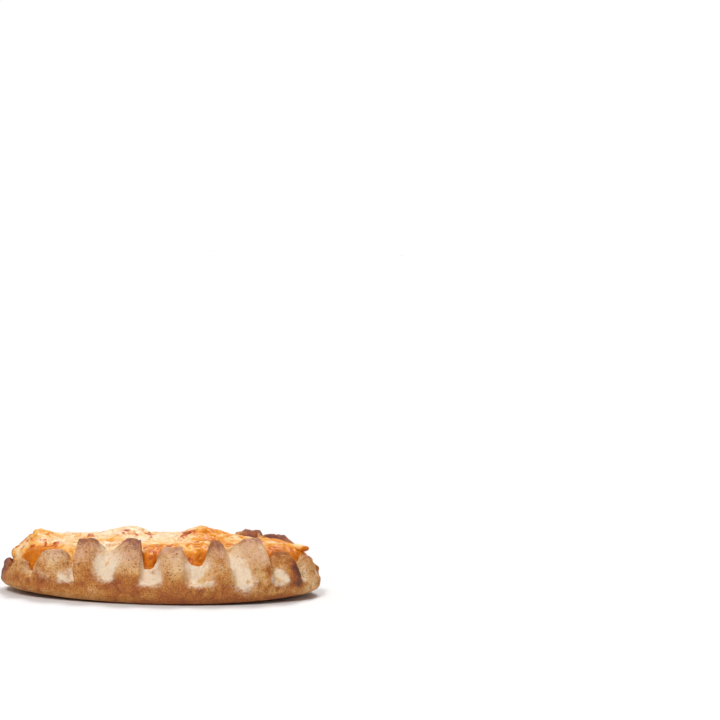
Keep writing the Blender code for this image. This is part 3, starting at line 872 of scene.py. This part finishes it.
def creases(points):
    """Thin lines where the dough has cracked, from 0 between them to 1."""
    bent = points + CREASE_BEND * np.stack(list(patches(points, CREASE_BENDS)), axis=-1)
    lines = [
        strength * bell(noise(bent, CREASE_SIZE * size, CREASE_SEED + i), 0, CREASE_WIDTH)
        for i, (size, strength) in enumerate(CREASE_NETS)
    ]
    (spread,) = patches(points, CREASE_PATCHES)
    return np.maximum(*lines) * fade(spread, *CREASED)


def wrinkles(points, around, ridge):
    """Fine upright wrinkles on the ridges."""
    upright = points[:, 2] * WRINKLE_WIDTH / WRINKLE_LENGTH
    stretched = np.column_stack((around * HALF_LENGTH, upright, np.zeros(len(points))))
    on_ridge = smooth(ridge * 2) * fade(points[:, 2], PLEAT_LOW, WRINKLE_GROWN)
    return WRINKLE * noise(stretched, WRINKLE_WIDTH, WRINKLE_SEED) * on_ridge


def front_places(points, column):
    """What one of the last columns of FRONT_PLACES adds at these points."""
    total = np.zeros(len(points))
    for along, up, wide, tall, *shares in FRONT_PLACES:
        away = ((points[:, 0] / MM - along) / wide) ** 2 + ((points[:, 2] / MM - up) / tall) ** 2
        total += shares[column] * np.exp(-away)
    return total * (points[:, 1] < 0)


def evened(values, reach):
    """Values round the pie, evened out over their neighbours."""
    return np.mean([np.roll(values, step) for step in range(-reach, reach + 1)], axis=0)


def groove_flour():
    """How much flour lies in the groove after each pleat, all round the pie."""
    draw = random.Random(DOUGH_SEED)
    return [draw.uniform(*BACK_FLOUR) for _ in range(BACK_PLEATS)] + list(FRONT_FLOUR)


def crust_rings(columns):
    """Rings of points from under the crust's middle, up its outside, over the edge and down its inside.

    Also gives each ring's share of the way up the wall, and the number of rings on the outside.
    """
    angle = columns.angle
    flat = place(angle, FLAT_INSET, 0)
    rings = [flat * size for size in np.linspace(UNDER_CENTRE, 1, UNDER_RINGS)]
    rim = RIM_LIFT + END_LIFT * np.cos(angle) ** 2
    rings += [corner(angle, i / CORNER_ROWS, rim, RIM_INSET, 0) for i in range(CORNER_ROWS)]
    shares = np.concatenate((
        np.linspace(0, LOW_SHARE, WALL_LOW_ROWS, endpoint=False),
        np.linspace(LOW_SHARE, 1, WALL_HIGH_ROWS + 1),
    ))
    below = len(rings)
    rings += [columns.wall(share) for share in shares]
    rings += [columns.edge(i / (EDGE_ROWS + 1)) for i in range(1, EDGE_ROWS + 1)]
    outside = len(rings)
    rings += [columns.inner(share) for share in np.linspace(1, 1 - INNER_DEPTH, INNER_ROWS)]
    rings.append(columns.inner(0))
    rings.append(corner(angle, 0, BASE_THICK, FLAT_INSET, bulge_thick(angle) - GAP))
    steps = np.concatenate((np.zeros(below), shares, np.ones(len(rings) - below - len(shares))))
    return rings, steps, outside


def colour_crust(mesh, points, columns, steps, relief, crease):
    """Stores how brown, floury, pink and dark-tipped the dough is at each point. The brown holds painted
    shade on the base band and on the claw's right flank, and the pink holds a painted highlight.
    """
    count = len(steps)
    along = points[:, 0] / MM
    up = points[:, 2] / MM
    share = np.repeat(steps, len(columns.angle))
    turned = np.mod(np.tile(columns.angle, count), math.tau)
    ridge = np.tile(columns.wave, count)
    groove = 1 - fade(np.tile(evened(columns.wave, FLOUR_REACH), count), *GROOVE_TO)
    strewn = np.tile(columns.mixed(groove_flour()), count)
    blotch, patch, mottle = patches(points, DOUGH_PATCHES)
    patchy = {name: smooth(common + varied * patch) for name, (common, varied) in PATCHY.items()}
    rim = fade(share, *RIM_FROM) * smooth(ridge * 1.3)
    shaded_flank_at = SHADED_FLANK_AT + SHADED_FLANK_TURN * (up - 3) / 12
    floury = groove * fade(up, *FLOUR_LOW) * (1 - FLOUR_THIN * fade(up, *FLOUR_HIGH))
    looks = dict(
        all=1, blotch=blotch, patch=patch, mottle=mottle, crease=crease, floury=floury, rim=rim,
        lifted=relief / LIFTED,
        lip=groove * bell(up, *LIP_AT) * patchy["lip"],
        foot=bell(up, *FOOT_AT) * (0.35 + 0.65 * ridge),
        # under and low: browner towards the bottom, partly baked colour and partly painted shade, more of it
        # to the right and less on the left as a painted highlight
        under=(1 - fade(up, *UNDER_BROWN_AND_SHADE_TO)) * (0.25 + 0.75 * smooth(0.5 + along / 40)),
        low=(1 - fade(up, *LOW_BROWN_AND_SHADE_TO)) * bell(along, *LOW_BROWN_AND_SHADE_AT),
        pale=bell(turned, *PALE_AT),
        # painted shade on the claw's right flank, which faces away from the light
        shaded_flank=bell(turned, shaded_flank_at, SHADED_FLANK_SPAN) * fade(up, *SHADED_FLANK_FROM) * patchy["shaded_flank"],
        scorch=bell(turned, *SCORCH_AT) * fade(up, *SCORCH_FROM),
        charred=high(turned) * fade(share, *CHARRED_FROM) * patchy["charred"],
    )
    brown = weighed(BROWN, looks) + front_places(points, 0) * weighed(PLACE_BROWN, looks)
    brown = np.minimum(brown, BROWNEST + BROWNER * (brown - BROWNEST)) + weighed(SCORCHED_AND_SHADED, looks)
    flour = floury * strewn * weighed(FLOUR, looks) + front_places(points, 1) * weighed(PLACE_FLOUR, looks)
    looks["rim"] = rim * patchy["rim"]
    tip = weighed(TIP, looks) + front_places(points, 2) * patchy["tips"]
    # top marks the upper ridges for the pink, which is partly a painted highlight
    store(mesh, brown=brown, flour=flour * (1 - looks["scorch"]), top=fade(up, *PINK_AND_LIT_FROM) * ridge, tip=tip)


def make_crust():
    """The pleated sheet of dough, open over the rice."""
    columns = Columns(COLUMNS_PER_PLEAT, RAGGED)
    rings, steps, outside = crust_rings(columns)
    points = np.concatenate(rings)
    sides = len(columns.angle)
    thing = make_object("pie_crust", points, ring_faces(len(rings), sides))
    mesh = thing.data
    around = np.tile(columns.angle, len(rings))
    ridge = np.tile(columns.wave, len(rings))
    crease = creases(points)
    relief = layered(points, *DOUGH_RELIEF) + wrinkles(points, around, ridge)
    relief += blister_relief(points, normals_of(mesh)) - CREASE * crease
    row = np.repeat(np.arange(len(rings)), sides)
    move_out(mesh, relief * fade(row, UNDER_RINGS, CORNER_ROWS) * (row < outside))
    colour_crust(mesh, points, columns, steps, relief, crease)
    return thing


# The rice


def rice_grid():
    """The angle and the share of the way out, for a rectangular net laid over the filling."""
    across, along = np.meshgrid(
        np.linspace(-1, 1, RICE_ACROSS + 1), np.linspace(-1, 1, RICE_ALONG + 1), indexing="ij"
    )
    share = np.maximum(np.abs(along), np.abs(across))
    wide = np.abs(along) >= np.abs(across)
    with np.errstate(divide="ignore", invalid="ignore"):
        flat = np.where(wide, across / along, along / across)
    flat = np.nan_to_num(flat) * math.pi / 4
    left = np.where(along < 0, math.pi, 0)
    front = np.where(across < 0, math.pi, 0)
    angle = np.where(wide, flat + left, math.pi / 2 - flat + front)
    return np.mod(angle, math.tau), share


def edge_turns(angles):
    """The turn of the crust's edge at each of these angles."""
    columns = Columns(SOLID_COLUMNS)
    lines = columns.shifted(columns.edge_turn, 1)
    aside = np.linspace(-EDGE_EVENED, EDGE_EVENED, EVENING_STEPS)
    near = [np.interp(angles + a, lines, columns.edge_turn, period=math.tau) for a in aside]
    return np.mean(near, axis=0)


def rice_points(angle, share):
    """Points on the porridge, where a share of 1 lies at the crust's edge."""
    edge = edge_turns(angle)
    out = np.clip((1 - share) / (1 - RICE_SHOULDER), 0, 1)
    side = place(angle, *mound(angle, edge + (math.pi / 2 - edge) * out, 0))
    inside = np.clip(share / RICE_SHOULDER, 0, 1)[:, None]
    points = side * np.where(inside < 1, inside, 1)
    points[:, 2] = side[:, 2] + crown(points[:, 0], points[:, 1])
    points[:, 2] += lumps(points[:, 0], points[:, 1]) * fade(out, *LUMPS_FROM)
    return points


def sunk_grains(points, normals, bare):
    """The relief of grains in the porridge, and the tone of the grain at each point."""
    draw = np.random.default_rng(SUNK_SEED)
    relief = layered(points, *PORRIDGE_RELIEF)
    tone = np.zeros(len(points))
    spots = draw.choice(np.flatnonzero(bare > 0), SUNK_GRAINS, replace=False)
    for index in spots:
        size = draw.uniform(*SUNK_SIZES)
        length = GRAIN_LENGTH * size / 2 * draw.uniform(*SUNK_LENGTHS)
        width = GRAIN_WIDTH * size / 2
        sink = width * draw.uniform(*SUNK_DEPTH)
        pitch = draw.uniform(-SUNK_PITCH, SUNK_PITCH)
        spin = draw.uniform(0, math.pi)
        shade = draw.uniform(-1, 1)
        away = points - points[index]
        near = np.flatnonzero(np.abs(away).max(axis=1) < length)
        away = away[near]
        normal = normals[index]
        first = np.cross(normal, (0, 1, 0))
        first /= np.linalg.norm(first)
        second = np.cross(normal, first)
        along = away @ (first * math.cos(spin) + second * math.sin(spin))
        across = away @ (second * math.cos(spin) - first * math.sin(spin))
        within = 1 - (along / length) ** 2 - (across / width) ** 2
        top = width * np.sqrt(np.clip(within, 0, 1)) - sink + along * pitch - away @ normal
        top = np.where(within > 0, top, -1)
        here = relief[near]
        soft = BLEND / 4 * np.clip(1 - np.abs(top - here) / BLEND, 0, 1) ** 2
        relief[near] = np.maximum(top, here) + soft
        tone[near] = np.where(top > here, shade, tone[near])
    return relief, tone


def grain_mesh(size, bend):
    """Points of one cooked grain, plump, slightly bent and with its length along X."""
    row, side = ball_angles(GRAIN_RINGS, GRAIN_SIDES)
    girth = np.sin(row) ** GRAIN_PLUMP
    body = np.stack((np.cos(row), girth * np.cos(side), girth * np.sin(side)), axis=-1).reshape(-1, 3)
    ends = np.array(((1.0, 0, 0), (-1.0, 0, 0)))
    points = np.concatenate((body, ends)) * np.array((GRAIN_LENGTH, GRAIN_WIDTH, GRAIN_WIDTH)) / 2 * size
    points[:, 1] += bend * (points[:, 0] / (GRAIN_LENGTH / 2)) ** 2
    return points


def grain_faces():
    """The faces of one grain: rings of quads, and a fan at each end."""
    rings = GRAIN_RINGS - 1
    faces = [(a, d, c, b) for a, b, c, d in bands(rings, GRAIN_SIDES)]
    last = (rings - 1) * GRAIN_SIDES
    end = rings * GRAIN_SIDES
    for i in range(GRAIN_SIDES):
        j = (i + 1) % GRAIN_SIDES
        faces += [(i, j, end), (last + j, last + i, end + 1)]
    return faces


def near_spots(points, spots):
    """1 in the middle of these spots, fading to 0 round them."""
    near = np.zeros(len(points))
    for *middle, radius in spots:
        away = np.linalg.norm(points / MM - np.array(middle), axis=1)
        near = np.maximum(near, bell(away, 0, radius))
    return near


def colour_rice(mesh, height_above, tone, points, normals):
    """Stores how deep in colour and how toasted the rice is at each point. The depth holds painted shade on
    the low, steep and front sides, beside the crust and between grains.
    """
    along, across, up = points.T / MM
    blotch, patch, cluster, coarse, fine, beside, golden = patches(points, RICE_PATCHES)
    raised = np.clip(height_above / RAISED, -1, 1)
    away = np.hypot(points[:, 0] / (HALF_LENGTH - BESIDE_INSET), points[:, 1] / (HALF_WIDTH - BESIDE_INSET))
    deep = weighed(DEEP_AND_SHADE, dict(
        all=1, blotch=blotch, patch=patch, tone=tone, raised=raised,
        # The next five terms deepen the orange where the porridge is steep, low, in the front notches, at the
        # front and beside the crust: partly its own colour, partly painted shade
        steep=1 - np.clip(normals[:, 2], 0, 1),
        below=1 - fade(up, *BELOW_TO),
        shaded_notch=1 - fade(across, *SHADED_NOTCH_TO),
        front=1 - fade(across, *FRONT_TO),
        beside=fade(away, *BESIDE_FROM) * smooth(0.75 + 0.8 * beside),
        golden=fade(along, *GOLDEN_FROM) * smooth(0.6 + 0.9 * golden),
        gold=near_spots(points, GOLD_SPOTS),
    ))
    # paler cream places; the last of them is a painted highlight
    for *spot, paler in CREAM_AND_HIGHLIGHT_SPOTS:
        deep *= 1 - paler * near_spots(points, [spot])
    speck = coarse + 0.5 * fine + 0.3 * raised
    toast = TOAST * fade(cluster, -0.25, 0.8) * fade(speck, 0.15, 0.8)
    hot = HOT_TOAST * near_spots(points, TOAST_SPOTS) * fade(speck, -0.25, 0.9)
    store(mesh, deep=deep, toast=np.maximum(toast, hot))


def make_rice():
    """The mound of porridge, with grains in its skin."""
    angle, share = rice_grid()
    rows, cols = share.shape
    top = rice_points(angle.ravel(), share.ravel())
    index = np.arange(rows * cols).reshape(rows, cols)
    quads = np.stack((index[:-1, :-1], index[:-1, 1:], index[1:, 1:], index[1:, :-1]), axis=-1).reshape(-1, 4)
    rim = np.concatenate((index[0, :-1], index[:-1, -1], index[-1, :0:-1], index[:0:-1, 0]))
    around = angle.ravel()[rim]
    turns = edge_turns(around)
    low = BASE_THICK + GAP
    foot = bulge_thick(around)
    steps = [1 - i / RICE_SKIRT_ROWS for i in range(1, RICE_SKIRT_ROWS)]
    rings = [place(around, *mound(around, turns * step, 0)) for step in steps]
    skirt = len(top) + len(rings) * len(rim)
    steps = [1 - i / RICE_CORNER_ROWS for i in range(RICE_CORNER_ROWS + 1)]
    rings += [corner(around, step, low, FLAT_INSET, foot) for step in steps]
    faces = quads.tolist()
    above = rim
    for ring in range(len(rings)):
        below = len(top) + ring * len(rim) + np.arange(len(rim))
        faces += np.stack((above, below, np.roll(below, -1), np.roll(above, -1)), axis=-1).tolist()
        above = below
    faces.append(above[::-1].tolist())
    points = np.concatenate([top] + rings)
    thing = make_object("pie_rice", points, faces)
    mesh = thing.data
    core = BVHTree.FromObject(thing, bpy.context.evaluated_depsgraph_get())
    normals = normals_of(mesh)
    bare = np.concatenate((smooth((1 - share.ravel()) / RELIEF_FADE), np.zeros(len(points) - len(top))))
    relief, tone = sunk_grains(points, normals, bare)
    closing = np.arange(len(points)) < skirt
    move_out(mesh, CLOSE_GAP * closing * (1 - bare) + relief * bare)
    colour_rice(mesh, relief, tone, points, normals_of(mesh))
    return thing, core


def make_swellings():
    """The rounded lumps that bulge out of the porridge, as one mesh."""
    row, side = ball_angles(SWELLING_RINGS, SWELLING_SIDES)
    ball = np.stack((np.sin(row) * np.cos(side), np.sin(row) * np.sin(side), -np.cos(row)), axis=-1)
    ball = ball.reshape(-1, 3)
    bodies = [(np.array(sizes[:3]) + ball * np.array(sizes[3:])) * MM for sizes in SWELLINGS]
    thing, points = repeated("pie_rice_lumps", bodies, ring_faces(SWELLING_RINGS - 1, SWELLING_SIDES))
    relief = layered(points, *SWELLING_RELIEF)
    move_out(thing.data, relief)
    colour_rice(thing.data, relief, np.zeros(len(points)), points, normals_of(thing.data))
    return thing


def make_grains(core, crust):
    """Loose grains on the porridge, where the solid has them, as one mesh."""
    crust_tree = BVHTree.FromObject(crust, bpy.context.evaluated_depsgraph_get())
    draw = random.Random(GRAIN_SEED)
    bend_draw = random.Random(GRAIN_SEED + 1)
    bodies = []
    tones = []
    for i in range(GRAINS):
        out = math.sqrt((i + 0.5) / GRAINS)
        turn = i * GOLDEN_ANGLE
        above = Vector((SPREAD_LENGTH * out * math.cos(turn), SPREAD_WIDTH * out * math.sin(turn), 1))
        size = draw.uniform(*GRAIN_SIZES)
        spin = Matrix.Rotation(draw.uniform(0, math.pi), 4, "Z")
        pitch = Matrix.Rotation(draw.uniform(-GRAIN_PITCH, GRAIN_PITCH), 4, "Y")
        bend = bend_draw.uniform(-GRAIN_BEND, GRAIN_BEND)
        tone = bend_draw.uniform(-1, 1)
        spot, normal, _, _ = core.ray_cast(above, Vector((0, 0, -1)))
        if spot is None:
            continue
        upright = normal.to_track_quat("Z", "Y").to_matrix().to_4x4()
        sink = GRAIN_SINK + bend_draw.uniform(*GRAIN_DEEPER)
        where = np.array(Matrix.Translation(spot - normal * sink) @ upright @ spin @ pitch)
        body = grain_mesh(size, bend) @ where[:3, :3].T + where[:3, 3]
        nearest = min(crust_tree.find_nearest(point)[3] for point in body[::GRAIN_TESTED])
        if nearest < GRAIN_CLEARANCE:
            continue
        bodies.append(body)
        tones.append(np.full(len(body), tone))
    thing, points = repeated("pie_rice_grains", bodies, grain_faces())
    normals = normals_of(thing.data)
    move_out(thing.data, layered(points, *GRAIN_RELIEF))
    colour_rice(thing.data, np.full(len(points), GRAIN_RAISED), np.concatenate(tones), points, normals)
    return thing


# The stage


def make_camera():
    """The photograph's own view, turned aside so that the pie lies where it does there."""
    data = bpy.data.cameras.new("camera")
    data.sensor_width = SENSOR_WIDTH
    data.lens = SENSOR_WIDTH * FOCAL_PIXELS / FRAME_PIXELS
    data.clip_end = CLIP_END
    camera = put("camera", data)
    away = Vector((0, -math.cos(ELEVATION), math.sin(ELEVATION)))
    half = FRAME_PIXELS / 2
    ray = Vector((PIE_PIXEL[0] - half, half - PIE_PIXEL[1], -FOCAL_PIXELS))
    aside = ray.rotation_difference(Vector((0, 0, -1))).to_matrix()
    look = (-away).to_track_quat("-Z", "Y").to_matrix()
    turn = look @ Matrix.Rotation(ROLL, 3, "Z") @ aside
    camera.matrix_world = Matrix.Translation(TARGET + away * DISTANCE) @ turn.to_4x4()
    bpy.context.scene.camera = camera


def add_sun(name, azimuth, elevation, strength, spread):
    """Soft light from this direction, with azimuth 0 at the camera's side."""
    data = bpy.data.lights.new(name, "SUN")
    data.energy = strength
    data.angle = math.radians(spread)
    a = math.radians(azimuth)
    e = math.radians(elevation)
    source = Vector((math.sin(a) * math.cos(e), -math.cos(a) * math.cos(e), math.sin(e)))
    sun = put(name, data)
    sun.rotation_mode = "QUATERNION"
    sun.rotation_quaternion = source.to_track_quat("Z", "Y")


FLOOR_RADIUS = 3.0
FLOOR_SIDES = 96
WALL_HEIGHT = 3.0
PAPER = (0.86, 0.86, 0.86, 1)
BACKDROP_GLOW = 1.03
WORLD_STRENGTH = 0.4
SUNS = (  # azimuth and elevation, strength, width; angles in degrees
    ("key", -22, 44, 1.6, 16),
    ("back", 160, 58, 1.7, 24),
)


def make_stage():
    """A pale floor, a bright backdrop all round, and soft light."""
    turn = np.linspace(0, math.tau, FLOOR_SIDES, endpoint=False)
    circle = np.stack((np.cos(turn), np.sin(turn), np.zeros(FLOOR_SIDES)), axis=-1) * FLOOR_RADIUS
    floor = make_object("floor", circle, [tuple(range(FLOOR_SIDES))])
    paper = Look("paper")
    tone = paper.between(paper.noise(20, 4, 0.6), 0.3, 0.7, 0.985, 1.0)
    paper.set(Base_Color=paper.mix(tone, (0, 0, 0, 1), PAPER), Roughness=0.9, Specular_IOR_Level=0.1)
    floor.data.materials.append(paper.material)
    top = circle + np.array((0, 0, WALL_HEIGHT))
    backdrop = make_object("backdrop", np.concatenate((circle, top)), list(bands(2, FLOOR_SIDES)))
    glow = Look("backdrop")
    glow.set(Base_Color=(0, 0, 0, 1), Emission_Color=(1, 1, 1, 1), Emission_Strength=BACKDROP_GLOW)
    glow.set(Specular_IOR_Level=0.0)
    backdrop.data.materials.append(glow.material)
    for unseen in ("visible_diffuse", "visible_glossy", "visible_shadow"):
        setattr(backdrop, unseen, False)

    world = bpy.data.worlds.new("world")
    bpy.context.scene.world = world
    world.use_nodes = True
    sky = world.node_tree.nodes["Background"]
    sky.inputs["Color"].default_value = (1, 1, 1, 1)
    sky.inputs["Strength"].default_value = WORLD_STRENGTH
    for sun in SUNS:
        add_sun(*sun)
    bpy.context.scene.view_settings.view_transform = "Standard"
    bpy.context.scene.view_settings.look = "None"


make_camera()
make_stage()
crust = make_crust()
rice, rice_core = make_rice()
grains = make_grains(rice_core, crust)
swellings = make_swellings()
crust.data.materials.append(crust_look())
rice_material = rice_look()

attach(crust, "root")
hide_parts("crust")
for piece in (rice, grains, swellings):
    piece.data.materials.append(rice_material)
    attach(piece, "root")
    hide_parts("rice_filling")
